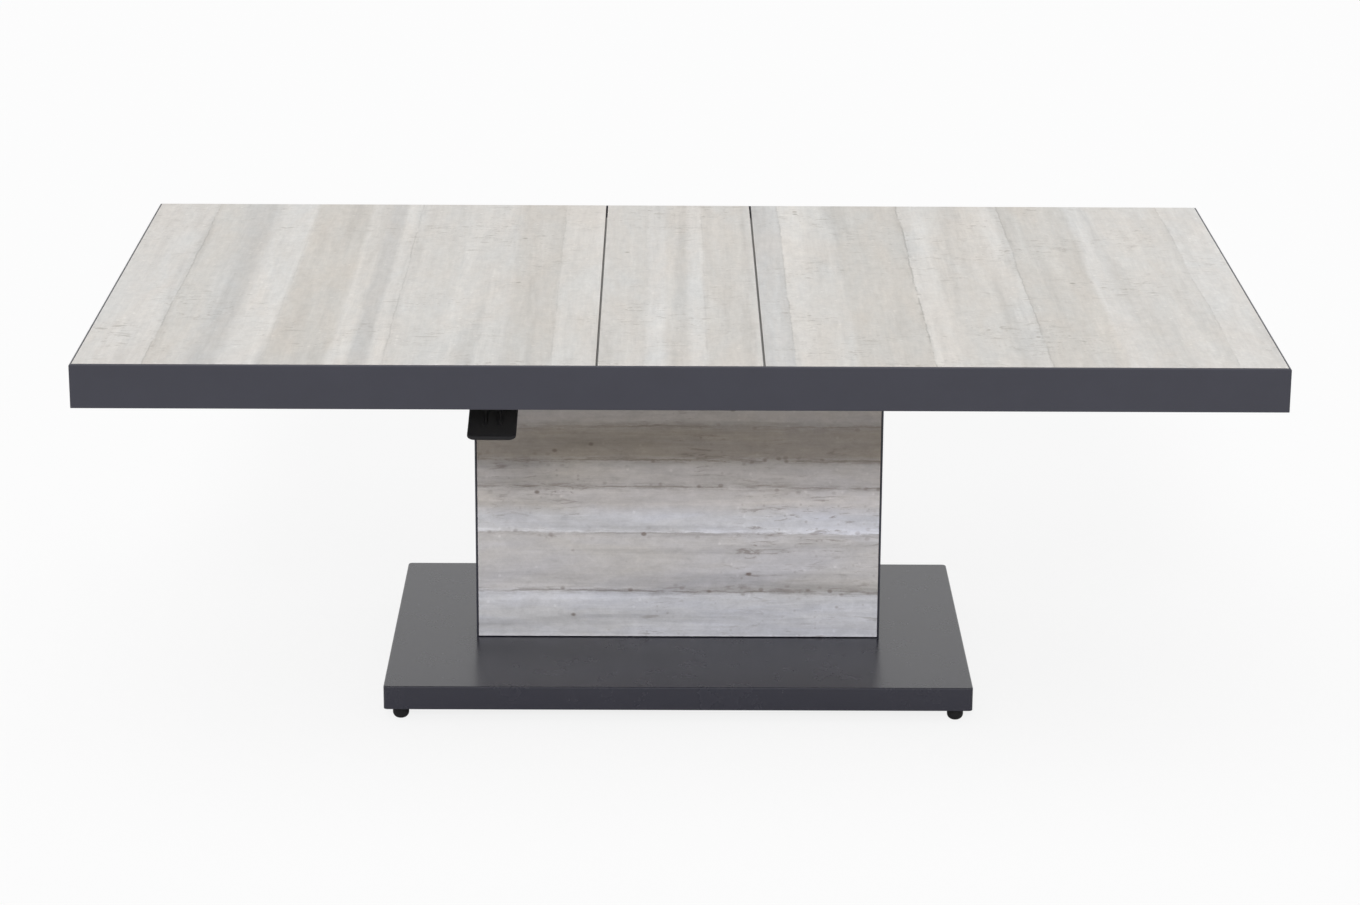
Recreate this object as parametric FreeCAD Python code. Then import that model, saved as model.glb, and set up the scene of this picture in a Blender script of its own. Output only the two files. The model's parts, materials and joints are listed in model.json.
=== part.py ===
import FreeCAD, Part
import math
import os

from FreeCAD import Vector

# Whole table in millimetres, with the top at its lowest: floor at zero, front towards minus Y
TOP_LENGTH = 1400.0
TOP_WIDTH = 800.0
TABLE_HEIGHT = 502.0

# Clearances and the overrun of cutting tools
CUT_OVERRUN = 5.0
RUNNING_CLEARANCE = 0.05
SLIDING_CLEARANCE = 0.2
HOLE_CLEARANCE = 0.3
STOP_GAP = 0.3

# Rails of the top frame: an open channel with a ledge for the tiles and a thin lip round them
RAIL_HEIGHT = 52.5
RAIL_DEPTH = 30.0
RAIL_WALL = 2.5
RAIL_FLANGE_WALL = 2.0
LEDGE_WALL = 2.0
RAIL_TOP_ROUND = 2.3
RAIL_FOOT_ROUND = 1.0
LIP_STEP = 0.5

# Ceramic tiles of the top and the pads and strips that carry them
TILE_THICKNESS = 10.0
TILE_ROUND = 0.6
TILE_SIDE_GAP = 0.5
CENTRE_TILE_LENGTH = 190.0
SEAM_WIDTH = 2.5
PAD_THICKNESS = 1.0
PAD_LENGTH = 40.0
PAD_WIDTH = 16.0
PAD_END_MARGIN = 60.0
STRIP_WIDTH = 18.0
STRIP_END_GAP = 2.0

# Cross bars under the tiles
BAR_WIDTH = 25.0
BAR_HEIGHT = 25.0
BAR_WALL = 2.0
BAR_CORNER = 3.0
OUTER_BAR_X = 285.0

# Steel plate between the cross bars and the lifting column
PLATE_THICKNESS = 6.0
PLATE_DEPTH = 116.0
PLATE_END_MARGIN = 5.0
PLATE_CORNER = 10.0
PLATE_BOLT_Y = 24.0

# Hexagon bolts
BOLT_RADIUS = 4.0
BOLT_HEAD_FLATS = 13.0
BOLT_HEAD_HEIGHT = 5.3
BOLT_BAR_REACH = 8.0
BOLT_HEAD_REACH = 18.0

# Pan head screws
SCREW_RADIUS = 2.5
SCREW_HEAD_RADIUS = 4.7
SCREW_HEAD_HEIGHT = 3.2
SCREW_GRIP = 5.0

# Fixed casing of the column
CASING_WIDTH = 510.5
CASING_DEPTH = 110.0
CASING_TOP_GAP = 19.0
CASING_SIDE_WALL = 2.2
CASING_ROUND = 0.8
CASING_FLANGE = 16.0
CASING_FLANGE_WALL = 1.5
CASING_FOOT_FLANGE = 22.0
CASING_TILE_THICKNESS = 8.0
CASING_TILE_GAP = 0.5
CASING_TILE_FOOT_GAP = 1.0
CASING_BACKING = 2.0

# Inner sleeve that rises out of the casing with the top
SLEEVE_WALL = 2.0
SLEEVE_GAP = 3.0
SLEEVE_SIDE_GAP = 4.0
SLEEVE_FLANGE = 14.0
SLEEVE_RETURN = 12.0
SLEEVE_FLOOR_GAP = 9.0
SLEEVE_NOTCH_WIDTH = 16.0
SLEEVE_NOTCH_HEIGHT = 14.0

# Telescopic guide tubes
GUIDE_X = 165.0
GUIDE_TUBE_SIZE = 50.0
GUIDE_TUBE_WALL = 2.0
GUIDE_TUBE_CORNER = 4.0
INNER_TUBE_SIZE = 40.0
INNER_TUBE_WALL = 2.0
INNER_TUBE_CORNER = 4.0
BUSH_LENGTH = 60.0
BUSH_COLLAR = 5.0
GLIDE_LENGTH = 30.0
GLIDE_PLUG_LENGTH = 20.0
GLIDE_FLOOR_GAP = 8.0

# Locking gas spring
CYLINDER_RADIUS = 14.0
CYLINDER_WALL = 2.0
CYLINDER_BASE = 4.0
CYLINDER_ROUND = 2.5
CYLINDER_HEAD_GAP = 44.0
CYLINDER_STUD_RADIUS = 5.0
PISTON_LENGTH = 24.0
PISTON_FLOOR_GAP = 12.0
ROD_RADIUS = 5.0
VALVE_PIN_RADIUS = 2.0
VALVE_PIN_LENGTH = 50.0
VALVE_BORE_SPARE = 10.0

# Release head on the piston rod, with the release lever in its slot
HEAD_WIDTH = 42.0
HEAD_FRONT = 29.0
HEAD_REAR = 16.0
HEAD_BRIDGE = 20.0
HEAD_SLOT_WIDTH = 12.0
HEAD_BOLT_X = 13.5
HEAD_BOLT_Y = -4.0
HEAD_ROUND = 2.0
PIVOT_DROP = 26.0
PIVOT_PIN_RADIUS = 3.0
LEVER_THICKNESS = 10.0
LEVER_HUB_RADIUS = 8.0
LEVER_FLOOR_GAP = 1.0
NOSE_ARM = 16.0
NOSE_NECK_RADIUS = 3.0
NOSE_RADIUS = 4.5
VALVE_GAP = 0.3

# Release linkage: equal arms on the paddle shaft and on the lever, joined by a straight rod
RELEASE_SWING_DEGREES = 14.0
ARM_LENGTH = 20.0
PUSH_ROD_RADIUS = 3.0
ROD_EYE_RADIUS = 5.0
ROD_EYE_THICKNESS = 4.0
ROD_EYE_LENGTH = 13.0
ROD_PIN_RADIUS = 2.5
FORK_SLOT_WIDTH = 4.6
FORK_SLOT_DEPTH = 11.0
CRANK_THICKNESS = 12.0
CRANK_HUB_RADIUS = 9.0

# Release shaft, its hanging brackets and the paddle on it
SHAFT_INSET = 124.0
SHAFT_RADIUS = 5.0
SHAFT_END = 3.0
SHAFT_FLAT_DEPTH = 1.2
BRACKET_THICKNESS = 16.0
BRACKET_FLANGE_DEPTH = 46.0
BRACKET_FLANGE_WALL = 5.0
BRACKET_EYE_RADIUS = 10.0
BRACKET_SCREW_Y = 16.0
PADDLE_X = -218.5
PADDLE_WIDTH = 57.0
PADDLE_REACH = 104.0
PADDLE_DROP = 23.5
PADDLE_SAG = 2.2
PADDLE_THICKNESS = 5.5
PADDLE_CORNER = 9.5
PADDLE_ROUND = 2.2
PADDLE_HUB_RADIUS = 9.5
PADDLE_RIB_WIDTH = 5.0
PADDLE_RIB_X = 8.5
PADDLE_RIB_END_HEIGHT = 1.4
PADDLE_RIB_ROUND = 1.2

# Base: a folded tray on a frame of bars, with a stiffening plate under the column
BASE_LENGTH = 722.0
BASE_WIDTH = 470.0
BASE_HEIGHT = 29.5
BASE_SHEET = 2.5
BASE_CORNER = 5.0
BASE_EDGE_ROUND = 1.8
BASE_BAR_WIDTH = 30.0
BASE_BAR_HEIGHT = 25.0
BASE_BAR_WALL = 2.0
BASE_BAR_CORNER = 3.0
BASE_BAR_END_GAP = 0.8
STIFFENER_LENGTH = 460.0
STIFFENER_DEPTH = 120.0
STIFFENER_THICKNESS = 5.0
COLUMN_PLATE_THICKNESS = 6.0
COLUMN_PLATE_LENGTH = 440.0
COLUMN_PLATE_DEPTH = 74.0
COLUMN_BOLT_OFFSET = 15.0
COLUMN_BOLT_Y = 24.0
CASING_SCREW_Y = 25.0

# Levelling feet
FOOT_HEIGHT = 17.5
FOOT_INSET = 20.0
FOOT_RADIUS = 10.0
FOOT_ROUND = 7.5
FOOT_SHOULDER = 1.0
FOOT_STUD_RADIUS = 4.0
FOOT_STUD_LENGTH = 20.0
FOOT_NUT_WIDTH = 14.0
FOOT_NUT_HEIGHT = 6.5

# Shares of a size: the top rises by a share of its lowered height
LIFT_SHARE = 0.42
MIDDLE_SHARE = 0.5
RIB_REACH_SHARE = 0.72
PARALLEL_SHARE = 1e-6

# Levels from the floor up to the column plate
BASE_BOTTOM_Z = FOOT_HEIGHT
BASE_TOP_Z = BASE_BOTTOM_Z + BASE_HEIGHT
BASE_CEILING_Z = BASE_TOP_Z - BASE_SHEET
BASE_BAR_BOTTOM_Z = BASE_CEILING_Z - BASE_BAR_HEIGHT
COLUMN_FLOOR_Z = BASE_TOP_Z + COLUMN_PLATE_THICKNESS

# Levels from the tile surface down to the top plate
TILE_BOTTOM_Z = TABLE_HEIGHT - TILE_THICKNESS
LEDGE_TOP_Z = TILE_BOTTOM_Z - PAD_THICKNESS
BAR_TOP_Z = LEDGE_TOP_Z - LEDGE_WALL
BAR_BOTTOM_Z = BAR_TOP_Z - BAR_HEIGHT
PLATE_BOTTOM_Z = BAR_BOTTOM_Z - PLATE_THICKNESS
LIP_TOP_Z = TABLE_HEIGHT - LIP_STEP
RAIL_BOTTOM_Z = LIP_TOP_Z - RAIL_HEIGHT
CASING_TOP_Z = PLATE_BOTTOM_Z - CASING_TOP_GAP
GUIDE_TOP_Z = PLATE_BOTTOM_Z - STOP_GAP - BUSH_COLLAR

# Places worked out from the sizes above
SEAM_X = CENTRE_TILE_LENGTH / 2 + SEAM_WIDTH / 2
TILE_END_X = TOP_LENGTH / 2 - RAIL_WALL - TILE_SIDE_GAP
TILE_END_Y = TOP_WIDTH / 2 - RAIL_WALL - TILE_SIDE_GAP
BAR_END_Y = TOP_WIDTH / 2 - RAIL_WALL
BACKING_OUTER_Y = CASING_DEPTH / 2 - CASING_TILE_THICKNESS
BACKING_INNER_Y = BACKING_OUTER_Y - CASING_BACKING
CASING_SIDE_INNER_X = CASING_WIDTH / 2 - CASING_SIDE_WALL
SLEEVE_OUTER_X = CASING_SIDE_INNER_X - SLEEVE_SIDE_GAP
SLEEVE_OUTER_Y = BACKING_INNER_Y - SLEEVE_GAP
SLEEVE_BOTTOM_Z = COLUMN_FLOOR_Z + SLEEVE_FLOOR_GAP
GLIDE_BOTTOM_Z = COLUMN_FLOOR_Z + GLIDE_FLOOR_GAP
GLIDE_TOP_Z = GLIDE_BOTTOM_Z + GLIDE_LENGTH
PIVOT_Z = PLATE_BOTTOM_Z - PIVOT_DROP
SLOT_FLOOR_Z = PIVOT_Z - LEVER_HUB_RADIUS - LEVER_FLOOR_GAP
HEAD_BOTTOM_Z = SLOT_FLOOR_Z - HEAD_BRIDGE
LIFT_STROKE = TABLE_HEIGHT * LIFT_SHARE
PISTON_BOTTOM_Z = COLUMN_FLOOR_Z + CYLINDER_BASE + PISTON_FLOOR_GAP
PISTON_TOP_Z = PISTON_BOTTOM_Z + PISTON_LENGTH
CHAMBER_TOP_Z = PISTON_TOP_Z + LIFT_STROKE + STOP_GAP
CYLINDER_TOP_Z = HEAD_BOTTOM_Z - CYLINDER_HEAD_GAP
LEAN = math.radians(RELEASE_SWING_DEGREES / 2)
LEVER_Y = -NOSE_ARM
SHAFT_Y = SHAFT_INSET - TOP_WIDTH / 2
ROD_PIN_RISE = ARM_LENGTH * math.cos(LEAN)
ROD_PIN_LEAN = ARM_LENGTH * math.sin(LEAN)
NOSE_Y = LEVER_Y + NOSE_ARM * math.cos(LEAN)
NOSE_Z = PIVOT_Z + NOSE_ARM * math.sin(LEAN)
VALVE_PIN_TOP_Z = NOSE_Z - NOSE_RADIUS - VALVE_GAP
FOOT_X = BASE_LENGTH / 2 - FOOT_INSET
FOOT_Y = BASE_WIDTH / 2 - FOOT_INSET
FOOT_TOP_Z = BASE_BAR_BOTTOM_Z - STOP_GAP
COLUMN_BOLT_REACH = GUIDE_TUBE_SIZE / 2 + COLUMN_BOLT_OFFSET

X_AXIS = Vector(1, 0, 0)
Y_AXIS = Vector(0, 1, 0)
Z_AXIS = Vector(0, 0, 1)
ORIGIN = Vector(0, 0, 0)
SIDES = {"left": -1, "right": 1}


def block(low, high):
    """Box between two corners, given as (x, y, z)."""
    size = [b - a for a, b in zip(low, high)]
    return Part.makeBox(*size, Vector(*low))


def edges_along(shape, axis):
    """Straight edges that run along an axis."""
    found = []
    for edge in shape.Edges:
        span = edge.Vertexes[-1].Point.sub(edge.Vertexes[0].Point)
        if span.cross(axis).Length < span.Length * PARALLEL_SHARE:
            found.append(edge)
    return found


def rounded_block(low, high, axis, radius):
    """Box whose four edges along an axis are rounded."""
    shape = block(low, high)
    return shape.makeFillet(radius, edges_along(shape, axis))


def tube(low, high, axis, wall, corner):
    """Rectangular tube along an axis, with rounded corners outside and inside."""
    outer = rounded_block(low, high, axis, corner)
    reach = [CUT_OVERRUN if part else -wall for part in axis]
    bore_low = [a - r for a, r in zip(low, reach)]
    bore_high = [b + r for b, r in zip(high, reach)]
    return outer.cut(rounded_block(bore_low, bore_high, axis, corner - wall))


def cylinder(radius, start, end):
    """Round bar between two points."""
    span = Vector(*end).sub(Vector(*start))
    return Part.makeCylinder(radius, span.Length, Vector(*start), span)


def prism(points, span):
    """Straight-sided outline pushed along a span."""
    corners = [Vector(*point) for point in points]
    return Part.Face(Part.makePolygon(corners + corners[:1])).extrude(Vector(*span))


def revolved(outline):
    """Solid of revolution about Z from edges in the XZ plane."""
    return Part.Face(Part.Wire(outline)).revolve(ORIGIN, Z_AXIS, 360)


def rounded_on(shape, radius, choose):
    """Shape with the chosen edges rounded."""
    return shape.makeFillet(radius, [edge for edge in shape.Edges if choose(edge)])


def link(start, start_radius, end, end_radius, thickness):
    """Flat link in the YZ plane, centred on X: two round ends joined by tangent lines."""
    reach = math.hypot(end[0] - start[0], end[1] - start[1])
    heading = math.atan2(end[1] - start[1], end[0] - start[0])
    spread = math.acos((start_radius - end_radius) / reach)

    def at(centre, radius, angle):
        y = centre[0] + radius * math.cos(angle)
        z = centre[1] + radius * math.sin(angle)
        return Vector(-thickness / 2, y, z)

    start_arc = [at(start, start_radius, heading + turn) for turn in (spread, math.pi, -spread)]
    end_arc = [at(end, end_radius, heading + turn) for turn in (-spread, 0, spread)]
    outline = [
        Part.Arc(*start_arc).toShape(),
        Part.LineSegment(start_arc[2], end_arc[0]).toShape(),
        Part.Arc(*end_arc).toShape(),
        Part.LineSegment(end_arc[2], start_arc[0]).toShape(),
    ]
    return Part.Face(Part.Wire(outline)).extrude(X_AXIS * thickness)


def bolt(x, y, seat_z, way, length):
    """Hexagon bolt on a seat, its shank going up (way 1) or down (way -1)."""
    corner = BOLT_HEAD_FLATS / math.sqrt(3)
    angles = [math.radians(60 * turn) for turn in range(6)]
    points = [(x + corner * math.cos(a), y + corner * math.sin(a), seat_z) for a in angles]
    head = prism(points, (0, 0, -way * BOLT_HEAD_HEIGHT))
    return head.fuse(cylinder(BOLT_RADIUS, (x, y, seat_z), (x, y, seat_z + way * length)))


def screw(x, y, seat_z, way, length):
    """Pan head screw on a seat, its shank going up (way 1) or down (way -1)."""
    head = cylinder(SCREW_HEAD_RADIUS, (x, y, seat_z), (x, y, seat_z - way * SCREW_HEAD_HEIGHT))
    return head.fuse(cylinder(SCREW_RADIUS, (x, y, seat_z), (x, y, seat_z + way * length)))


def drilled(shape, places, radius, low_z, high_z):
    """Shape with vertical holes, cut past both levels."""
    for x, y in places:
        start = (x, y, low_z - CUT_OVERRUN)
        shape = shape.cut(cylinder(radius, start, (x, y, high_z + CUT_OVERRUN)))
    return shape


def mirrored_places(xs, ys):
    """Places at plus and minus each x and y."""
    return [(sx * x, sy * y) for x in xs for y in ys for sx in (-1, 1) for sy in (-1, 1)]


def outer_edges(channel, offset, level):
    """Long edges of a rail's outer face at a level."""

    def near(vertex):
        return abs(vertex.Point.y + offset) < RAIL_WALL / 2 and abs(vertex.Point.z - level) < RAIL_WALL / 2

    return [edge for edge in edges_along(channel, X_AXIS) if all(near(vertex) for vertex in edge.Vertexes)]


def rail(length, offset):
    """Mitred rail along X whose outer face lies at y = -offset."""
    walls = [
        (0, RAIL_BOTTOM_Z), (RAIL_DEPTH, RAIL_BOTTOM_Z),
        (RAIL_DEPTH, RAIL_BOTTOM_Z + RAIL_FLANGE_WALL),
        (RAIL_WALL, RAIL_BOTTOM_Z + RAIL_FLANGE_WALL),
        (RAIL_WALL, BAR_TOP_Z), (RAIL_DEPTH, BAR_TOP_Z),
        (RAIL_DEPTH, LEDGE_TOP_Z), (RAIL_WALL, LEDGE_TOP_Z),
        (RAIL_WALL, LIP_TOP_Z), (0, LIP_TOP_Z),
    ]
    channel = prism([(-length / 2, u - offset, z) for u, z in walls], (length, 0, 0))

    channel = channel.makeFillet(RAIL_TOP_ROUND, outer_edges(channel, offset, LIP_TOP_Z))
    channel = channel.makeFillet(RAIL_FOOT_ROUND, outer_edges(channel, offset, RAIL_BOTTOM_Z))
    plan = [
        (-length / 2, -offset), (length / 2, -offset),
        (length / 2 - RAIL_DEPTH, RAIL_DEPTH - offset), (RAIL_DEPTH - length / 2, RAIL_DEPTH - offset),
    ]
    mitre = prism([(x, y, RAIL_BOTTOM_Z) for x, y in plan], (0, 0, RAIL_HEIGHT))
    return channel.common(mitre)


def turned(shape, degrees):
    """Copy of a shape turned about the vertical axis."""
    return shape.rotated(ORIGIN, Z_AXIS, degrees)


def rails():
    long_rail = rail(TOP_LENGTH, TOP_WIDTH / 2)
    short_rail = rail(TOP_WIDTH, TOP_LENGTH / 2)
    return {
        "rail_front": long_rail,
        "rail_rear": turned(long_rail, 180),
        "rail_left": turned(short_rail, -90),
        "rail_right": turned(short_rail, 90),
    }


def tile_spans():
    """Start and end of each tile of the top along X."""
    seam_edge = SEAM_X + SEAM_WIDTH / 2
    return {
        "tile_left": (-TILE_END_X, -seam_edge),
        "tile_centre": (-CENTRE_TILE_LENGTH / 2, CENTRE_TILE_LENGTH / 2),
        "tile_right": (seam_edge, TILE_END_X),
    }


def top_tile(start, end):
    tile = block((start, -TILE_END_Y, TILE_BOTTOM_Z), (end, TILE_END_Y, TABLE_HEIGHT))

    def on_top(edge):
        return all(abs(vertex.Point.z - TABLE_HEIGHT) < TILE_ROUND / 2 for vertex in edge.Vertexes)

    return rounded_on(tile, TILE_ROUND, on_top)


def tile_pads():
    """Pads on the rails' ledges and strips along the cross bars."""
    pads = []
    ledge_middle = (RAIL_DEPTH + RAIL_WALL) / 2
    pad_y = TOP_WIDTH / 2 - ledge_middle
    pad_x = TOP_LENGTH / 2 - ledge_middle

    def add_pad(x, y, size_x, size_y):
        low = (x - size_x / 2, y - size_y / 2, LEDGE_TOP_Z)
        pads.append(block(low, (x + size_x / 2, y + size_y / 2, TILE_BOTTOM_Z)))

    for start, end in tile_spans().values():
        for x in (start + PAD_END_MARGIN, end - PAD_END_MARGIN):
            for side in (-1, 1):
                add_pad(x, side * pad_y, PAD_LENGTH, PAD_WIDTH)
    for y in (PAD_END_MARGIN - TILE_END_Y + RAIL_DEPTH, 0, TILE_END_Y - RAIL_DEPTH - PAD_END_MARGIN):
        for side in (-1, 1):
            add_pad(side * pad_x, y, PAD_WIDTH, PAD_LENGTH)
    strip_end = TOP_WIDTH / 2 - RAIL_DEPTH - STRIP_END_GAP
    for x in bar_places().values():
        low = (x - STRIP_WIDTH / 2, -strip_end, BAR_TOP_Z)
        pads.append(block(low, (x + STRIP_WIDTH / 2, strip_end, TILE_BOTTOM_Z)))
    return Part.makeCompound(pads)


def bar_places():
    """Middle of each cross bar along X."""
    return {
        "cross_bar_outer_left": -OUTER_BAR_X,
        "cross_bar_seam_left": -SEAM_X,
        "cross_bar_seam_right": SEAM_X,
        "cross_bar_outer_right": OUTER_BAR_X,
    }


def plate_bolt_places():
    return mirrored_places((SEAM_X, OUTER_BAR_X), (PLATE_BOLT_Y,))


def bracket_bars():
    """The two cross bars that carry the release shaft's brackets."""
    return {"left": -OUTER_BAR_X, "right": SEAM_X}


def cross_bar(x):
    low = (x - BAR_WIDTH / 2, -BAR_END_Y, BAR_BOTTOM_Z)
    bar = tube(low, (x + BAR_WIDTH / 2, BAR_END_Y, BAR_TOP_Z), Y_AXIS, BAR_WALL, BAR_CORNER)
    bolts = [(bx, by) for bx, by in plate_bolt_places() if abs(bx - x) < BAR_WIDTH / 2]
    wall_top = BAR_BOTTOM_Z + BAR_WALL
    bar = drilled(bar, bolts, BOLT_RADIUS + RUNNING_CLEARANCE, BAR_BOTTOM_Z, wall_top)
    if x in bracket_bars().values():
        screws = [(x, SHAFT_Y + side * BRACKET_SCREW_Y) for side in (-1, 1)]
        bar = drilled(bar, screws, SCREW_RADIUS + RUNNING_CLEARANCE, BAR_BOTTOM_Z, wall_top)
    return bar


def head_bolt_places():
    return [(side * HEAD_BOLT_X, HEAD_BOLT_Y) for side in (-1, 1)]


def sleeve_screw_places():
    """Screws through the flanges at the top of the sleeve's four sides."""
    front_y = SLEEVE_OUTER_Y + SLEEVE_FLANGE / 2
    side_x = SLEEVE_OUTER_X + SLEEVE_FLANGE / 2
    front = mirrored_places((GUIDE_X,), (front_y,))
    return front + [(side * side_x, 0) for side in (-1, 1)]


def top_plate():
    end_x = OUTER_BAR_X + BAR_WIDTH / 2 + PLATE_END_MARGIN
    low = (-end_x, -PLATE_DEPTH / 2, PLATE_BOTTOM_Z)
    plate = rounded_block(low, (end_x, PLATE_DEPTH / 2, BAR_BOTTOM_Z), Z_AXIS, PLATE_CORNER)
    bolts = plate_bolt_places() + head_bolt_places()
    plate = drilled(plate, bolts, BOLT_RADIUS + HOLE_CLEARANCE, PLATE_BOTTOM_Z, BAR_BOTTOM_Z)
    return drilled(plate, sleeve_screw_places(), SCREW_RADIUS + RUNNING_CLEARANCE,
                   PLATE_BOTTOM_Z, BAR_BOTTOM_Z)


def plate_bolts():
    """Bolts up into the cross bars, and down into the release head."""
    up = PLATE_THICKNESS + BOLT_BAR_REACH
    down = PLATE_THICKNESS + BOLT_HEAD_REACH
    bolts = [bolt(x, y, PLATE_BOTTOM_Z, 1, up) for x, y in plate_bolt_places()]
    bolts += [bolt(x, y, BAR_BOTTOM_Z, -1, down) for x, y in head_bolt_places()]
    return Part.makeCompound(bolts)


def sleeve_face():
    """Front panel of the sleeve, folded out at the top and notched for the push rod."""
    outer = -SLEEVE_OUTER_Y
    inner = outer + SLEEVE_WALL
    edge = outer - SLEEVE_FLANGE
    fold_z = PLATE_BOTTOM_Z - SLEEVE_WALL
    outline = [
        (outer, SLEEVE_BOTTOM_Z), (inner, SLEEVE_BOTTOM_Z), (inner, PLATE_BOTTOM_Z),
        (edge, PLATE_BOTTOM_Z), (edge, fold_z), (outer, fold_z),
    ]
    points = [(-SLEEVE_OUTER_X, y, z) for y, z in outline]
    panel = prism(points, (SLEEVE_OUTER_X + SLEEVE_OUTER_X, 0, 0))
    places = [(x, y) for x, y in sleeve_screw_places() if y < outer]
    return drilled(panel, places, SCREW_RADIUS + HOLE_CLEARANCE, fold_z, PLATE_BOTTOM_Z)


def sleeve_front():
    low = (-SLEEVE_NOTCH_WIDTH / 2, -SLEEVE_OUTER_Y - SLEEVE_FLANGE - CUT_OVERRUN,
           PLATE_BOTTOM_Z - SLEEVE_NOTCH_HEIGHT)
    high = (SLEEVE_NOTCH_WIDTH / 2, -SLEEVE_OUTER_Y + SLEEVE_WALL + CUT_OVERRUN,
            PLATE_BOTTOM_Z + CUT_OVERRUN)
    return sleeve_face().cut(block(low, high))


def sleeve_end():
    """Right-hand channel of the sleeve, folded out at the top."""
    inner_x = SLEEVE_OUTER_X - SLEEVE_WALL
    return_x = inner_x - SLEEVE_RETURN
    side_y = SLEEVE_OUTER_Y - SLEEVE_WALL
    return_y = side_y - SLEEVE_WALL
    outline = [
        (SLEEVE_OUTER_X, -side_y), (SLEEVE_OUTER_X, side_y), (return_x, side_y),
        (return_x, return_y), (inner_x, return_y), (inner_x, -return_y),
        (return_x, -return_y), (return_x, -side_y),
    ]
    height = PLATE_BOTTOM_Z - SLEEVE_BOTTOM_Z
    channel = prism([(x, y, SLEEVE_BOTTOM_Z) for x, y in outline], (0, 0, height))
    fold_z = PLATE_BOTTOM_Z - SLEEVE_WALL
    flange = block((SLEEVE_OUTER_X, -side_y, fold_z),
                   (SLEEVE_OUTER_X + SLEEVE_FLANGE, side_y, PLATE_BOTTOM_Z))
    places = [(x, y) for x, y in sleeve_screw_places() if x > SLEEVE_OUTER_X]
    return drilled(channel.fuse(flange).removeSplitter(), places, SCREW_RADIUS + HOLE_CLEARANCE,
                   fold_z, PLATE_BOTTOM_Z)


def small_screws():
    """Screws of the sleeve's flanges and of the release shaft's brackets."""
    sleeve_seat = PLATE_BOTTOM_Z - SLEEVE_WALL
    screws = [screw(x, y, sleeve_seat, 1, SLEEVE_WALL + SCREW_GRIP) for x, y in sleeve_screw_places()]
    bracket_seat = BAR_BOTTOM_Z - BRACKET_FLANGE_WALL
    for x in bracket_bars().values():
        for side in (-1, 1):
            y = SHAFT_Y + side * BRACKET_SCREW_Y
            screws.append(screw(x, y, bracket_seat, 1, BRACKET_FLANGE_WALL + SCREW_GRIP))
    return Part.makeCompound(screws)


def square_column(x, size, corner, low_z, high_z):
    """Solid square column with rounded corners."""
    low = (x - size / 2, -size / 2, low_z)
    return rounded_block(low, (x + size / 2, size / 2, high_z), Z_AXIS, corner)


def square_tube(x, size, wall, corner, low_z, high_z):
    low = (x - size / 2, -size / 2, low_z)
    return tube(low, (x + size / 2, size / 2, high_z), Z_AXIS, wall, corner)


def inner_tube(x):
    return square_tube(x, INNER_TUBE_SIZE, INNER_TUBE_WALL, INNER_TUBE_CORNER, GLIDE_TOP_Z, PLATE_BOTTOM_Z)


def glide_pad(x):
    """Nylon foot of the inner tube: a plug in its end and a head that runs in the guide tube."""
    head_size = GUIDE_TUBE_SIZE - GUIDE_TUBE_WALL - GUIDE_TUBE_WALL - SLIDING_CLEARANCE - SLIDING_CLEARANCE
    head_corner = GUIDE_TUBE_CORNER - GUIDE_TUBE_WALL
    head = square_column(x, head_size, head_corner, GLIDE_BOTTOM_Z, GLIDE_TOP_Z)
    plug_size = INNER_TUBE_SIZE - INNER_TUBE_WALL - INNER_TUBE_WALL - RUNNING_CLEARANCE - RUNNING_CLEARANCE
    plug_corner = INNER_TUBE_CORNER - INNER_TUBE_WALL
    plug = square_column(x, plug_size, plug_corner, GLIDE_TOP_Z, GLIDE_TOP_Z + GLIDE_PLUG_LENGTH)
    return head.fuse(plug)


def guide_tube(x):
    return square_tube(x, GUIDE_TUBE_SIZE, GUIDE_TUBE_WALL, GUIDE_TUBE_CORNER, COLUMN_FLOOR_Z, GUIDE_TOP_Z)


def guide_bush(x):
    """Nylon bush in the mouth of the guide tube; its collar is the stop of the lowered top."""
    bore_size = INNER_TUBE_SIZE + SLIDING_CLEARANCE + SLIDING_CLEARANCE
    bore_corner = INNER_TUBE_CORNER + SLIDING_CLEARANCE
    body_size = GUIDE_TUBE_SIZE - GUIDE_TUBE_WALL - GUIDE_TUBE_WALL - RUNNING_CLEARANCE - RUNNING_CLEARANCE
    body_corner = GUIDE_TUBE_CORNER - GUIDE_TUBE_WALL
    bottom_z = GUIDE_TOP_Z - BUSH_LENGTH
    body = square_column(x, body_size, body_corner, bottom_z, GUIDE_TOP_Z)
    collar = square_column(x, GUIDE_TUBE_SIZE, GUIDE_TUBE_CORNER, GUIDE_TOP_Z, GUIDE_TOP_Z + BUSH_COLLAR)
    bore = square_column(x, bore_size, bore_corner, bottom_z - CUT_OVERRUN,
                         GUIDE_TOP_Z + BUSH_COLLAR + CUT_OVERRUN)
    return body.fuse(collar).cut(bore)


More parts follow.
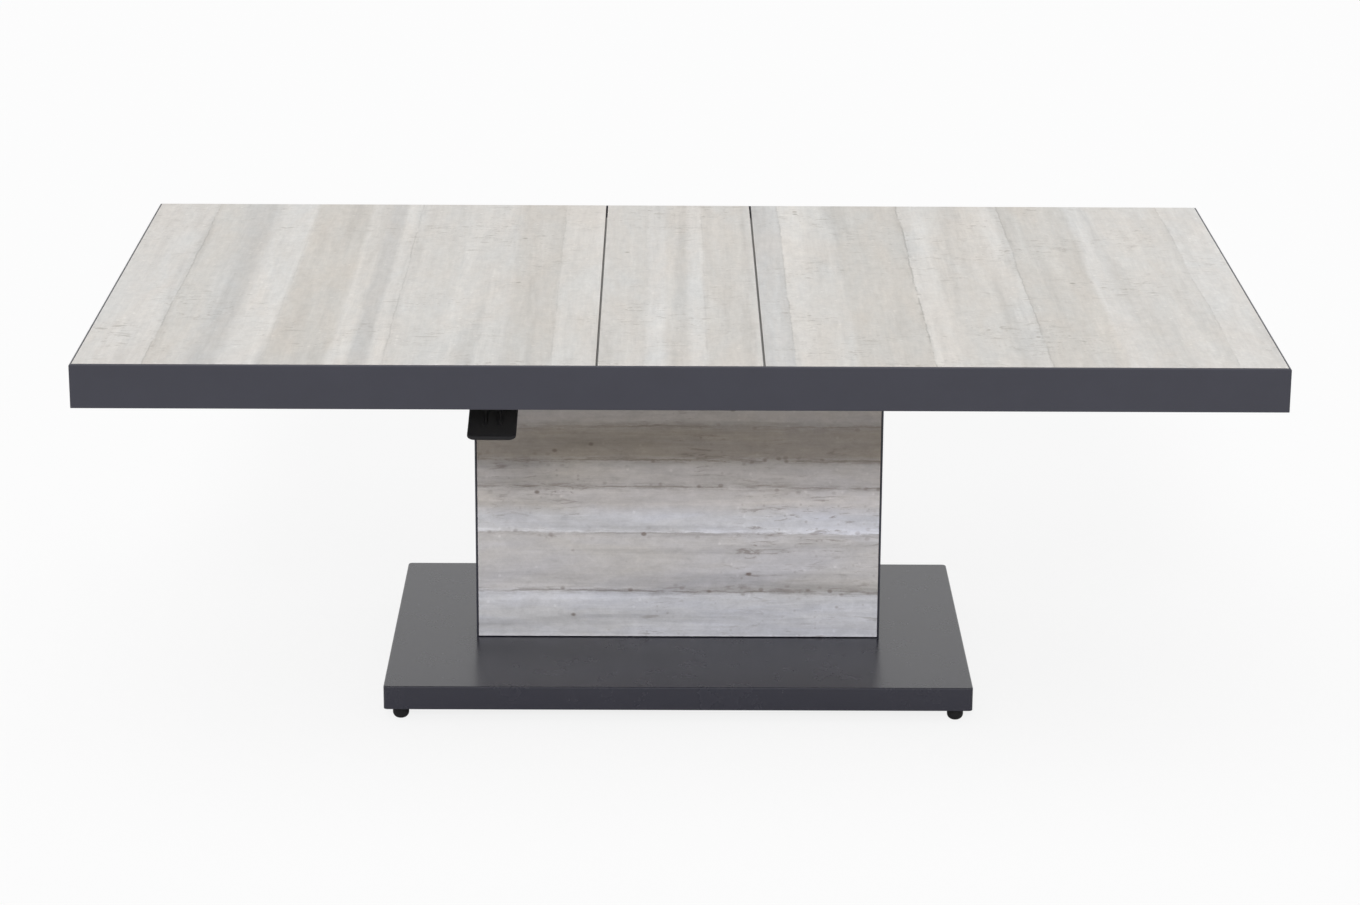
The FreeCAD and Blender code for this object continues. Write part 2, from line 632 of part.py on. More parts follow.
def gas_spring_cylinder():
    """Closed tube with a stud below, and a long rod guide above that stops the raised piston."""
    outer = cylinder(CYLINDER_RADIUS, (0, 0, COLUMN_FLOOR_Z), (0, 0, CYLINDER_TOP_Z))

    def on_end(edge):
        return edge.BoundBox.ZLength < CYLINDER_ROUND

    outer = rounded_on(outer, CYLINDER_ROUND, on_end)
    chamber = cylinder(CYLINDER_RADIUS - CYLINDER_WALL, (0, 0, COLUMN_FLOOR_Z + CYLINDER_BASE),
                       (0, 0, CHAMBER_TOP_Z))
    rod_guide = cylinder(ROD_RADIUS + RUNNING_CLEARANCE, (0, 0, CHAMBER_TOP_Z),
                         (0, 0, CYLINDER_TOP_Z + CUT_OVERRUN))
    stud = cylinder(CYLINDER_STUD_RADIUS, (0, 0, BASE_TOP_Z), (0, 0, COLUMN_FLOOR_Z + CYLINDER_BASE / 2))
    return outer.fuse(stud).cut(chamber).cut(rod_guide)


def gas_spring_rod():
    rod = cylinder(ROD_RADIUS, (0, 0, PISTON_BOTTOM_Z), (0, 0, SLOT_FLOOR_Z))
    bore_bottom = VALVE_PIN_TOP_Z - VALVE_PIN_LENGTH - VALVE_BORE_SPARE
    return rod.cut(cylinder(VALVE_PIN_RADIUS + RUNNING_CLEARANCE, (0, 0, bore_bottom),
                            (0, 0, SLOT_FLOOR_Z + CUT_OVERRUN)))


def gas_spring_piston():
    piston = cylinder(CYLINDER_RADIUS - CYLINDER_WALL - RUNNING_CLEARANCE,
                      (0, 0, PISTON_BOTTOM_Z), (0, 0, PISTON_TOP_Z))
    return drilled(piston, [(0, 0)], ROD_RADIUS + RUNNING_CLEARANCE, PISTON_BOTTOM_Z, PISTON_TOP_Z)


def valve_pin():
    return cylinder(VALVE_PIN_RADIUS, (0, 0, VALVE_PIN_TOP_Z - VALVE_PIN_LENGTH), (0, 0, VALVE_PIN_TOP_Z))


def release_head():
    """Block on the end of the piston rod, slotted for the lever and bolted under the top plate."""
    low = (-HEAD_WIDTH / 2, -HEAD_FRONT, HEAD_BOTTOM_Z)
    head = rounded_block(low, (HEAD_WIDTH / 2, HEAD_REAR, PLATE_BOTTOM_Z), Z_AXIS, HEAD_ROUND)
    slot_low = (-HEAD_SLOT_WIDTH / 2, -HEAD_FRONT - CUT_OVERRUN, SLOT_FLOOR_Z)
    slot_high = (HEAD_SLOT_WIDTH / 2, HEAD_REAR + CUT_OVERRUN, PLATE_BOTTOM_Z + CUT_OVERRUN)
    head = head.cut(block(slot_low, slot_high))
    head = drilled(head, [(0, 0)], ROD_RADIUS + RUNNING_CLEARANCE, HEAD_BOTTOM_Z, SLOT_FLOOR_Z)
    bolt_end = PLATE_BOTTOM_Z - BOLT_HEAD_REACH
    for x, y in head_bolt_places():
        hole = cylinder(BOLT_RADIUS + RUNNING_CLEARANCE, (x, y, bolt_end),
                        (x, y, PLATE_BOTTOM_Z + CUT_OVERRUN))
        head = head.cut(hole)
    return head.cut(cross_pin(PIVOT_PIN_RADIUS + RUNNING_CLEARANCE, HEAD_WIDTH + CUT_OVERRUN,
                              LEVER_Y, PIVOT_Z))


def cross_pin(radius, length, y, z):
    """Round pin along X, centred on the middle of the table."""
    return cylinder(radius, (-length / 2, y, z), (length / 2, y, z))


def arm_end(pivot_y):
    """Pin at the end of a release arm that leans forward by half its swing."""
    return (pivot_y - ROD_PIN_LEAN, PIVOT_Z + ROD_PIN_RISE)


def forked(shape, pivot_y):
    """Shape with a slot down from its arm's end, and a bore for the rod's pin."""
    y, z = arm_end(pivot_y)
    reach = ROD_EYE_RADIUS + ROD_EYE_LENGTH
    slot = block((-FORK_SLOT_WIDTH / 2, y - reach, z + ROD_EYE_RADIUS - FORK_SLOT_DEPTH),
                 (FORK_SLOT_WIDTH / 2, y + reach, z + reach))
    return shape.cut(slot).cut(cross_pin(ROD_PIN_RADIUS + RUNNING_CLEARANCE, reach, y, z))


def release_lever():
    """Bell crank: an arm up to the push rod and a rounded nose back over the valve pin."""
    pivot = (LEVER_Y, PIVOT_Z)
    arm = link(pivot, LEVER_HUB_RADIUS, arm_end(LEVER_Y), ROD_EYE_RADIUS, LEVER_THICKNESS)
    nose = link(pivot, NOSE_NECK_RADIUS, (NOSE_Y, NOSE_Z), NOSE_RADIUS, LEVER_THICKNESS)
    lever = forked(arm.fuse(nose).removeSplitter(), LEVER_Y)
    return lever.cut(cross_pin(PIVOT_PIN_RADIUS + RUNNING_CLEARANCE, HEAD_WIDTH, LEVER_Y, PIVOT_Z))


def crank_arm():
    pivot = (SHAFT_Y, PIVOT_Z)
    arm = link(pivot, CRANK_HUB_RADIUS, arm_end(SHAFT_Y), ROD_EYE_RADIUS, CRANK_THICKNESS)
    arm = forked(arm, SHAFT_Y)
    return arm.cut(cross_pin(SHAFT_RADIUS + RUNNING_CLEARANCE, CRANK_THICKNESS + CUT_OVERRUN,
                             SHAFT_Y, PIVOT_Z))


def push_rod():
    """Round rod with a flattened eye at each end."""
    front = arm_end(SHAFT_Y)
    rear = arm_end(LEVER_Y)
    z = front[1]
    rod = cylinder(PUSH_ROD_RADIUS, (0, front[0] + ROD_EYE_LENGTH, z), (0, rear[0] - ROD_EYE_LENGTH, z))
    for pin, way in ((front, 1), (rear, -1)):
        neck = (pin[0] + way * ROD_EYE_LENGTH, z)
        rod = rod.fuse(link(pin, ROD_EYE_RADIUS, neck, PUSH_ROD_RADIUS, ROD_EYE_THICKNESS))
        rod = rod.cut(cross_pin(ROD_PIN_RADIUS + RUNNING_CLEARANCE, ROD_EYE_LENGTH, pin[0], z))
    return rod


def shaft_flat(raise_by):
    """Cutter for the flat on the release shaft inside the paddle's hub."""
    flat_z = PIVOT_Z + SHAFT_RADIUS - SHAFT_FLAT_DEPTH + raise_by
    low = (PADDLE_X - PADDLE_WIDTH / 2, SHAFT_Y - SHAFT_RADIUS - CUT_OVERRUN, flat_z)
    high = (PADDLE_X + PADDLE_WIDTH / 2, SHAFT_Y + SHAFT_RADIUS + CUT_OVERRUN,
            flat_z + SHAFT_RADIUS + CUT_OVERRUN)
    return block(low, high)


def release_shaft():
    reach = BRACKET_THICKNESS / 2 + SHAFT_END
    start = (bracket_bars()["left"] - reach, SHAFT_Y, PIVOT_Z)
    shaft = cylinder(SHAFT_RADIUS, start, (bracket_bars()["right"] + reach, SHAFT_Y, PIVOT_Z))
    return shaft.cut(shaft_flat(0))


def shaft_bracket(x):
    """Moulded hanger under a cross bar, with a round eye for the release shaft."""
    flange_z = BAR_BOTTOM_Z - BRACKET_FLANGE_WALL
    half = BRACKET_FLANGE_DEPTH / 2
    flange = block((-BRACKET_THICKNESS / 2, SHAFT_Y - half, flange_z),
                   (BRACKET_THICKNESS / 2, SHAFT_Y + half, BAR_BOTTOM_Z))
    web = block((-BRACKET_THICKNESS / 2, SHAFT_Y - BRACKET_EYE_RADIUS, PIVOT_Z),
                (BRACKET_THICKNESS / 2, SHAFT_Y + BRACKET_EYE_RADIUS, flange_z))
    eye = cross_pin(BRACKET_EYE_RADIUS, BRACKET_THICKNESS, SHAFT_Y, PIVOT_Z)
    bracket = flange.fuse([web, eye]).removeSplitter()
    bracket = bracket.cut(cross_pin(SHAFT_RADIUS + RUNNING_CLEARANCE, BRACKET_THICKNESS + CUT_OVERRUN,
                                    SHAFT_Y, PIVOT_Z))
    screws = [(0, SHAFT_Y + side * BRACKET_SCREW_Y) for side in (-1, 1)]
    bracket = drilled(bracket, screws, SCREW_RADIUS + HOLE_CLEARANCE, flange_z, BAR_BOTTOM_Z)
    return bracket.translated(Vector(x, 0, 0))


def paddle_blade():
    """Finger plate that slopes forward and down from the shaft in a slight hollow curve."""
    left = PADDLE_X - PADDLE_WIDTH / 2
    middle_y = SHAFT_Y - PADDLE_REACH * MIDDLE_SHARE
    middle_z = PIVOT_Z - PADDLE_DROP * MIDDLE_SHARE - PADDLE_SAG
    line = [(SHAFT_Y, PIVOT_Z), (middle_y, middle_z), (SHAFT_Y - PADDLE_REACH, PIVOT_Z - PADDLE_DROP)]
    upper = [Vector(left, y, z + PADDLE_THICKNESS / 2) for y, z in line]
    lower = [Vector(left, y, z - PADDLE_THICKNESS / 2) for y, z in reversed(line)]
    outline = [
        Part.Arc(*upper).toShape(),
        Part.LineSegment(upper[2], lower[0]).toShape(),
        Part.Arc(*lower).toShape(),
        Part.LineSegment(lower[2], upper[0]).toShape(),
    ]
    blade = Part.Face(Part.Wire(outline)).extrude(X_AXIS * PADDLE_WIDTH)
    tip_y = SHAFT_Y - PADDLE_REACH

    def at_tip(edge):
        return all(abs(vertex.Point.y - tip_y) < PADDLE_ROUND / 2 for vertex in edge.Vertexes)

    corners = [edge for edge in edges_along(blade, Z_AXIS) if at_tip(edge)]
    blade = blade.makeFillet(PADDLE_CORNER, corners)

    def on_rim(edge):
        upright = edge.BoundBox.XLength < PADDLE_ROUND / 2 and edge.BoundBox.YLength < PADDLE_ROUND / 2
        at_hub = all(abs(vertex.Point.y - SHAFT_Y) < PADDLE_ROUND / 2 for vertex in edge.Vertexes)
        return not upright and not at_hub

    return rounded_on(blade, PADDLE_ROUND, on_rim)


def paddle_rib(x):
    """Rib on top of the blade that runs out of the hub and fades towards the tip."""
    sag_share = 1 - (RIB_REACH_SHARE / MIDDLE_SHARE - 1) ** 2
    end_y = SHAFT_Y - PADDLE_REACH * RIB_REACH_SHARE
    end_z = PIVOT_Z - PADDLE_DROP * RIB_REACH_SHARE - PADDLE_SAG * sag_share
    outline = [
        (SHAFT_Y, PIVOT_Z), (SHAFT_Y, PIVOT_Z + PADDLE_HUB_RADIUS),
        (end_y, end_z + PADDLE_THICKNESS / 2 + PADDLE_RIB_END_HEIGHT), (end_y, end_z),
    ]
    start = x - PADDLE_RIB_WIDTH / 2
    rib = prism([(start, y, z) for y, z in outline], (PADDLE_RIB_WIDTH, 0, 0))

    def on_crest(edge):
        return all(vertex.Point.z > end_z + PADDLE_THICKNESS / 2 for vertex in edge.Vertexes) and all(
            vertex.Point.y < SHAFT_Y + PADDLE_RIB_ROUND for vertex in edge.Vertexes) and (
            edge.BoundBox.YLength > PADDLE_HUB_RADIUS)

    return rounded_on(rib, PADDLE_RIB_ROUND, on_crest)


def release_paddle():
    half = PADDLE_WIDTH / 2
    hub = cylinder(PADDLE_HUB_RADIUS, (PADDLE_X - half, SHAFT_Y, PIVOT_Z), (PADDLE_X + half, SHAFT_Y, PIVOT_Z))
    ribs = [paddle_rib(PADDLE_X + side * PADDLE_RIB_X) for side in (-1, 1)]
    paddle = paddle_blade().fuse([hub] + ribs).removeSplitter()
    bore = cylinder(SHAFT_RADIUS + RUNNING_CLEARANCE, (PADDLE_X - half - CUT_OVERRUN, SHAFT_Y, PIVOT_Z),
                    (PADDLE_X + half + CUT_OVERRUN, SHAFT_Y, PIVOT_Z))
    return paddle.cut(bore.cut(shaft_flat(RUNNING_CLEARANCE)))


def column_bolt_places():
    near = GUIDE_X - COLUMN_BOLT_REACH
    far = GUIDE_X + COLUMN_BOLT_REACH
    return mirrored_places((near, far), (COLUMN_BOLT_Y,))


def casing_screw_places():
    x = CASING_SIDE_INNER_X - CASING_FOOT_FLANGE / 2
    return mirrored_places((x,), (CASING_SCREW_Y,))


def base_tray():
    """Folded steel tray, open below, with softened corners and upper edge."""
    low = (-BASE_LENGTH / 2, -BASE_WIDTH / 2, BASE_BOTTOM_Z)
    tray = rounded_block(low, (BASE_LENGTH / 2, BASE_WIDTH / 2, BASE_TOP_Z), Z_AXIS, BASE_CORNER)

    def on_top(edge):
        return all(abs(vertex.Point.z - BASE_TOP_Z) < BASE_EDGE_ROUND / 2 for vertex in edge.Vertexes)

    tray = rounded_on(tray, BASE_EDGE_ROUND, on_top)
    hollow_x = BASE_LENGTH / 2 - BASE_SHEET
    hollow_y = BASE_WIDTH / 2 - BASE_SHEET
    hollow = rounded_block((-hollow_x, -hollow_y, BASE_BOTTOM_Z - CUT_OVERRUN),
                           (hollow_x, hollow_y, BASE_CEILING_Z), Z_AXIS, BASE_CORNER - BASE_SHEET)
    tray = tray.cut(hollow)
    tray = drilled(tray, column_bolt_places(), BOLT_RADIUS + HOLE_CLEARANCE, BASE_CEILING_Z, BASE_TOP_Z)
    return drilled(tray, casing_screw_places(), SCREW_RADIUS + RUNNING_CLEARANCE, BASE_CEILING_Z, BASE_TOP_Z)


def base_bar(x):
    end_y = BASE_WIDTH / 2 - BASE_SHEET - BASE_BAR_END_GAP
    low = (x - BASE_BAR_WIDTH / 2, -end_y, BASE_BAR_BOTTOM_Z)
    high = (x + BASE_BAR_WIDTH / 2, end_y, BASE_CEILING_Z)
    bar = tube(low, high, Y_AXIS, BASE_BAR_WALL, BASE_BAR_CORNER)
    studs = [(x, side * FOOT_Y) for side in (-1, 1)]
    return drilled(bar, studs, FOOT_STUD_RADIUS + HOLE_CLEARANCE,
                   BASE_BAR_BOTTOM_Z, BASE_BAR_BOTTOM_Z + BASE_BAR_WALL)


def base_cross_bar(side):
    """Bar between the ends of the two side bars, at the front (side -1) or the rear (side 1)."""
    end_x = FOOT_X - BASE_BAR_WIDTH / 2 - BASE_BAR_END_GAP
    middle_y = side * FOOT_Y
    low = (-end_x, middle_y - BASE_BAR_WIDTH / 2, BASE_BAR_BOTTOM_Z)
    high = (end_x, middle_y + BASE_BAR_WIDTH / 2, BASE_CEILING_Z)
    return tube(low, high, X_AXIS, BASE_BAR_WALL, BASE_BAR_CORNER)


def foot_nuts():
    """Square weld nuts inside the base bars, one over each foot."""
    bottom = BASE_BAR_BOTTOM_Z + BASE_BAR_WALL
    half = FOOT_NUT_WIDTH / 2
    nuts = []
    for x, y in mirrored_places((FOOT_X,), (FOOT_Y,)):
        nut = block((x - half, y - half, bottom), (x + half, y + half, bottom + FOOT_NUT_HEIGHT))
        nuts.append(drilled(nut, [(x, y)], FOOT_STUD_RADIUS + RUNNING_CLEARANCE,
                            bottom, bottom + FOOT_NUT_HEIGHT))
    return Part.makeCompound(nuts)


def base_stiffener():
    bottom = BASE_CEILING_Z - STIFFENER_THICKNESS
    plate = rounded_block((-STIFFENER_LENGTH / 2, -STIFFENER_DEPTH / 2, bottom),
                          (STIFFENER_LENGTH / 2, STIFFENER_DEPTH / 2, BASE_CEILING_Z), Z_AXIS, PLATE_CORNER)
    return drilled(plate, column_bolt_places(), BOLT_RADIUS + RUNNING_CLEARANCE, bottom, BASE_CEILING_Z)


def column_plate():
    plate = rounded_block((-COLUMN_PLATE_LENGTH / 2, -COLUMN_PLATE_DEPTH / 2, BASE_TOP_Z),
                          (COLUMN_PLATE_LENGTH / 2, COLUMN_PLATE_DEPTH / 2, COLUMN_FLOOR_Z),
                          Z_AXIS, PLATE_CORNER)
    plate = drilled(plate, column_bolt_places(), BOLT_RADIUS + HOLE_CLEARANCE, BASE_TOP_Z, COLUMN_FLOOR_Z)
    return drilled(plate, [(0, 0)], CYLINDER_STUD_RADIUS + RUNNING_CLEARANCE, BASE_TOP_Z, COLUMN_FLOOR_Z)


def column_bolts():
    reach = COLUMN_PLATE_THICKNESS + BASE_SHEET + STIFFENER_THICKNESS
    return Part.makeCompound([bolt(x, y, COLUMN_FLOOR_Z, -1, reach) for x, y in column_bolt_places()])


def casing_side():
    """Right-hand side of the casing: a channel whose flanges back the panels, on a folded foot."""
    outer_x = CASING_WIDTH / 2
    flange_x = CASING_SIDE_INNER_X - CASING_FLANGE
    flange_y = BACKING_INNER_Y - CASING_FLANGE_WALL
    half = CASING_DEPTH / 2
    outline = [
        (outer_x, -half), (outer_x, half), (CASING_SIDE_INNER_X, half),
        (CASING_SIDE_INNER_X, BACKING_INNER_Y), (flange_x, BACKING_INNER_Y), (flange_x, flange_y),
        (CASING_SIDE_INNER_X, flange_y), (CASING_SIDE_INNER_X, -flange_y), (flange_x, -flange_y),
        (flange_x, -BACKING_INNER_Y), (CASING_SIDE_INNER_X, -BACKING_INNER_Y), (CASING_SIDE_INNER_X, -half),
    ]
    side = prism([(x, y, BASE_TOP_Z) for x, y in outline], (0, 0, CASING_TOP_Z - BASE_TOP_Z))

    def on_outer_corner(edge):
        return all(abs(vertex.Point.x - outer_x) < CASING_ROUND / 2 for vertex in edge.Vertexes)

    corners = [edge for edge in edges_along(side, Z_AXIS) if on_outer_corner(edge)]
    side = side.makeFillet(CASING_ROUND, corners)
    foot_top = BASE_TOP_Z + CASING_SIDE_WALL
    foot = block((CASING_SIDE_INNER_X - CASING_FOOT_FLANGE, -flange_y, BASE_TOP_Z),
                 (CASING_SIDE_INNER_X, flange_y, foot_top))
    places = [(x, y) for x, y in casing_screw_places() if x > 0]
    return drilled(side.fuse(foot), places, SCREW_RADIUS + HOLE_CLEARANCE, BASE_TOP_Z, foot_top)


def casing_screws():
    seat = BASE_TOP_Z + CASING_SIDE_WALL
    reach = CASING_SIDE_WALL + BASE_SHEET
    return Part.makeCompound([screw(x, y, seat, -1, reach) for x, y in casing_screw_places()])


def casing_backing():
    """Front backing panel of the casing."""
    end_x = CASING_SIDE_INNER_X - CASING_TILE_GAP
    return block((-end_x, -BACKING_OUTER_Y, BASE_TOP_Z), (end_x, -BACKING_INNER_Y, CASING_TOP_Z))


def casing_tile():
    """Front ceramic tile of the casing, glued to its backing."""
    end_x = CASING_SIDE_INNER_X - CASING_TILE_GAP
    face_y = -CASING_DEPTH / 2
    tile = block((-end_x, face_y, BASE_TOP_Z + CASING_TILE_FOOT_GAP), (end_x, -BACKING_OUTER_Y, CASING_TOP_Z))

    def on_face(edge):
        return all(abs(vertex.Point.y - face_y) < TILE_ROUND / 2 for vertex in edge.Vertexes)

    return rounded_on(tile, TILE_ROUND, on_face)


def foot():
    """Domed levelling foot on a threaded stud, standing on the origin."""
    flat = FOOT_RADIUS - FOOT_ROUND
    turn = FOOT_ROUND * math.sqrt(MIDDLE_SHARE)
    points = [
        Vector(0, 0, 0), Vector(flat, 0, 0), Vector(flat + turn, 0, FOOT_ROUND - turn),
        Vector(FOOT_RADIUS, 0, FOOT_ROUND), Vector(FOOT_RADIUS, 0, FOOT_TOP_Z - FOOT_SHOULDER),
        Vector(FOOT_RADIUS - FOOT_SHOULDER, 0, FOOT_TOP_Z), Vector(FOOT_STUD_RADIUS, 0, FOOT_TOP_Z),
        Vector(FOOT_STUD_RADIUS, 0, FOOT_TOP_Z + FOOT_STUD_LENGTH),
        Vector(0, 0, FOOT_TOP_Z + FOOT_STUD_LENGTH),
    ]
    outline = [Part.LineSegment(points[0], points[1]).toShape(), Part.Arc(*points[1:4]).toShape()]
    outline += [Part.LineSegment(a, b).toShape() for a, b in zip(points[3:], points[4:] + points[:1])]
    return revolved(outline)


def feet():
    places = {}
    for depth, side_y in (("front", -1), ("rear", 1)):
        for side, side_x in SIDES.items():
            place = Vector(side_x * FOOT_X, side_y * FOOT_Y, 0)
            places["foot_%s_%s" % (depth, side)] = foot().translated(place)
    return places


def left_and_right(name, make, x):
    """Two alike pieces at minus and plus x."""
    return {"%s_%s" % (name, side): make(way * x) for side, way in SIDES.items()}


def both_sides(make, x):
    """Two alike pieces at minus and plus x in one group."""
    return Part.makeCompound([make(way * x) for way in SIDES.values()])


def end_pair(name, shape):
    """A right-hand piece and its copy turned round to the left."""
    return {name + "_right": shape, name + "_left": turned(shape, 180)}


def face_pair(name, shape):
    """A front piece and its copy turned round to the rear."""
    return {name + "_front": shape, name + "_rear": turned(shape, 180)}


def lifted_parts():
    """The top and everything that rises with it."""
    parts = rails()
    parts.update({name: top_tile(*span) for name, span in tile_spans().items()})
    parts["tile_pads"] = tile_pads()
    parts.update({name: cross_bar(x) for name, x in bar_places().items()})
    parts["top_plate"] = top_plate()
    parts["plate_bolts"] = plate_bolts()
    parts["sleeve_front"] = sleeve_front()
    parts["sleeve_rear"] = turned(sleeve_face(), 180)
    parts.update(end_pair("sleeve", sleeve_end()))
    parts["small_screws"] = small_screws()
    parts.update(left_and_right("inner_tube", inner_tube, GUIDE_X))
    parts["glide_pads"] = both_sides(glide_pad, GUIDE_X)
    parts["gas_spring_rod"] = gas_spring_rod()
    parts["gas_spring_piston"] = gas_spring_piston()
    return parts


def release_parts():
    """The release head and the linkage from the paddle to the valve pin."""
    crank_y, crank_z = arm_end(SHAFT_Y)
    lever_y, lever_z = arm_end(LEVER_Y)
    parts = {
        "release_head": release_head(),
        "lever_pivot_pin": cross_pin(PIVOT_PIN_RADIUS, HEAD_WIDTH, LEVER_Y, PIVOT_Z),
        "release_lever": release_lever(),
        "lever_rod_pin": cross_pin(ROD_PIN_RADIUS, LEVER_THICKNESS, lever_y, lever_z),
        "valve_pin": valve_pin(),
        "push_rod": push_rod(),
        "crank_arm": crank_arm(),
        "crank_pin": cross_pin(ROD_PIN_RADIUS, CRANK_THICKNESS, crank_y, crank_z),
        "release_shaft": release_shaft(),
        "release_paddle": release_paddle(),
    }
    for side, x in bracket_bars().items():
        parts["shaft_bracket_" + side] = shaft_bracket(x)
    return parts


def fixed_parts():
    """The base, the fixed column and the levelling feet."""
    parts = {"base_tray": base_tray(), "foot_nuts": foot_nuts(), "base_stiffener": base_stiffener()}
    parts.update(left_and_right("base_bar", base_bar, FOOT_X))
    parts["base_bar_front"] = base_cross_bar(-1)
    parts["base_bar_rear"] = base_cross_bar(1)
    parts["column_plate"] = column_plate()
    parts["column_bolts"] = column_bolts()
    parts.update(left_and_right("guide_tube", guide_tube, GUIDE_X))
    parts["guide_bushes"] = both_sides(guide_bush, GUIDE_X)
    parts["gas_spring_cylinder"] = gas_spring_cylinder()
    parts.update(end_pair("casing_side", casing_side()))
    parts["casing_screws"] = casing_screws()
    parts.update(face_pair("casing_backing", casing_backing()))
    parts.update(face_pair("casing_tile", casing_tile()))
    parts.update(feet())
    return parts


os.makedirs("parts", exist_ok=True)
for node, solid in {**lifted_parts(), **release_parts(), **fixed_parts()}.items():
    solid.exportStep("parts/%s.step" % node)
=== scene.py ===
import json
import math
from typing import NamedTuple

import bpy
from mathutils import Matrix, Vector

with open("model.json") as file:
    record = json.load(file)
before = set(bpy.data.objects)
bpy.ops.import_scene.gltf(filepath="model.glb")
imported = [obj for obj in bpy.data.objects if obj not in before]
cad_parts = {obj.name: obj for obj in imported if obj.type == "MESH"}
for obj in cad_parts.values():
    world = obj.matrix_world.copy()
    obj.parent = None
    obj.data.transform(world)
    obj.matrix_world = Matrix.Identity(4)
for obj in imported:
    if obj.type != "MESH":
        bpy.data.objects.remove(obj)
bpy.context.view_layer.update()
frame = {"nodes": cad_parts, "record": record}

WHITE = (1, 1, 1, 1)

# Sockets of a mix node when it mixes colours
MIX_FACTOR = 0
MIX_FIRST = 6
MIX_SECOND = 7
MIX_RESULT = 2


class Sun(NamedTuple):
    """Far lamp; its width and turn are in degrees."""
    strength: float
    width: float
    turn: tuple
    mirrored: bool  # seen in glossy surfaces


class Noise(NamedTuple):
    """Noise pattern; its values from low to high are spread over the range that is asked for."""
    scale: tuple  # features per metre along three axes
    detail: float
    roughness: float
    distortion: float
    shift: tuple
    low: float
    high: float


class Specks(NamedTuple):
    """Round specks in some of the cells that space is split into."""
    scale: tuple  # cells per metre along X, Y and Z
    share: float  # of the cells that hold a speck
    radius: float  # as a share of a cell
    shift: tuple


class Tile(NamedTuple):
    """Ceramic that looks like concrete cast against boards."""
    name: str
    axis: str  # runs across the boards
    edges: list  # place, softness and strength of the line at each edge between two boards, or between a board and a painted highlight band
    tones: list  # colour of each board, or of a painted highlight band
    cool: tuple  # tint of the cool clouds
    warm: tuple  # tint of the warm clouds
    flaw: tuple  # colour of cracks, pits and knots
    seam: tuple  # colour of the lines and stains between boards
    grey: float  # strength of the grey streaks
    pale: float  # strength of the pale streaks
    mottle: float
    stain: float
    fibres: tuple  # darkest and palest shade
    cracks: Noise
    knots: Specks


class Coat(NamedTuple):
    """Powder coat, paint or moulded plastic."""
    name: str
    colour: tuple
    roughness: float
    grain: float  # features per metre
    depth: float  # of the grain, in metres
    mottle: float
    specular: float = 0.5


class Metal(NamedTuple):
    """Bare metal with a fine grain, drawn out into lines along an axis of small scale."""
    name: str
    colour: tuple
    roughness: float
    grain: tuple  # features per metre along X, Y and Z


# Camera fitted to the picture, in pixels, metres and radians
PICTURE_WIDTH = 1360
FOCAL_PIXELS = 3684.87
SENSOR_WIDTH_MM = 36.0
CAMERA_PLACE = (-0.01979, -4.45715, 1.64896)
CAMERA_PITCH = 0.29893
CAMERA_YAW = 0.00483
CAMERA_ROLL = 0.00508

# Light
SKY_STRENGTH = 0.4
SUNS = {
    "front": Sun(0.53 * math.pi, 15, (61, 0, -4), False),
    "overhead": Sun(0.33 * math.pi, 70, (6, -8, 0), True),
}

# Floor, with the share of pure white that the camera sees in it
FLOOR_SIDE = 40.0
FLOOR_COLOUR = (0.86, 0.86, 0.865, 1)
FLOOR_ROUGHNESS = 0.9
FLOOR_WHITE_SHARE = 0.84

# Noise in the tiles, with the scale across the boards first and then along the other two axes
UNMOVED = (0, 0, 0)
EDGE_WANDER = Noise((2.0, 5.0, 5.0), 2.0, 0.55, 0.0, UNMOVED, 0.2, 0.8)
EDGE_RAGGED = Noise((25.0, 45.0, 45.0), 4.0, 0.65, 0.0, UNMOVED, 0.2, 0.8)
LINE_BREAKS = Noise((4.0, 11.0, 11.0), 5.0, 0.7, 0.0, (3, 5, 7), 0.40, 0.52)
STAIN_BREAKS = Noise((170.0, 20.0, 20.0), 6.0, 0.75, 0.0, (8, 1, 2), 0.46, 0.58)
CLOUDS = Noise((14.0, 3.4, 3.4), 5.0, 0.65, 0.4, (9, 2, 4), 0.36, 0.64)
GREY_STREAKS = Noise((30.0, 1.7, 1.7), 5.0, 0.6, 0.15, (2, 6, 1), 0.50, 0.68)
PALE_STREAKS = Noise((36.0, 1.9, 1.9), 5.0, 0.6, 0.15, (5, 3, 9), 0.51, 0.69)
MOTTLE = Noise((85.0, 42.0, 42.0), 6.0, 0.8, 0.4, (4, 4, 8), 0.32, 0.68)
FIBRES = Noise((240.0, 16.0, 16.0), 4.0, 0.65, 0.0, UNMOVED, 0.25, 0.75)
GRAIN = Noise((260.0, 260.0, 260.0), 4.0, 0.7, 0.0, UNMOVED, 0.2, 0.8)
WORN_PATCHES = Noise((7.0, 7.0, 7.0), 3.0, 0.6, 0.0, (1, 8, 3), 0.47, 0.62)
TOP_CRACKS = Noise((42.0, 120.0, 42.0), 5.0, 0.7, 0.9, UNMOVED, 0.56, 0.63)
CASING_CRACKS = Noise((190.0, 26.0, 26.0), 5.0, 0.7, 0.9, UNMOVED, 0.56, 0.63)

# Specks in the tiles
PITS = Specks((150, 150, 150), 0.16, 0.34, UNMOVED)
GLINTS = Specks((130, 130, 130), 0.05, 0.34, (0.3, 0.6, 0.2))
SEAM_KNOTS = Specks((70, 70, 90), 0.5, 0.3, (0.7, 0.1, 0.4))
TOP_KNOTS = Specks((45, 45, 60), 0.01, 0.2, UNMOVED)
CASING_KNOTS = Specks((45, 45, 60), 0.06, 0.2, UNMOVED)

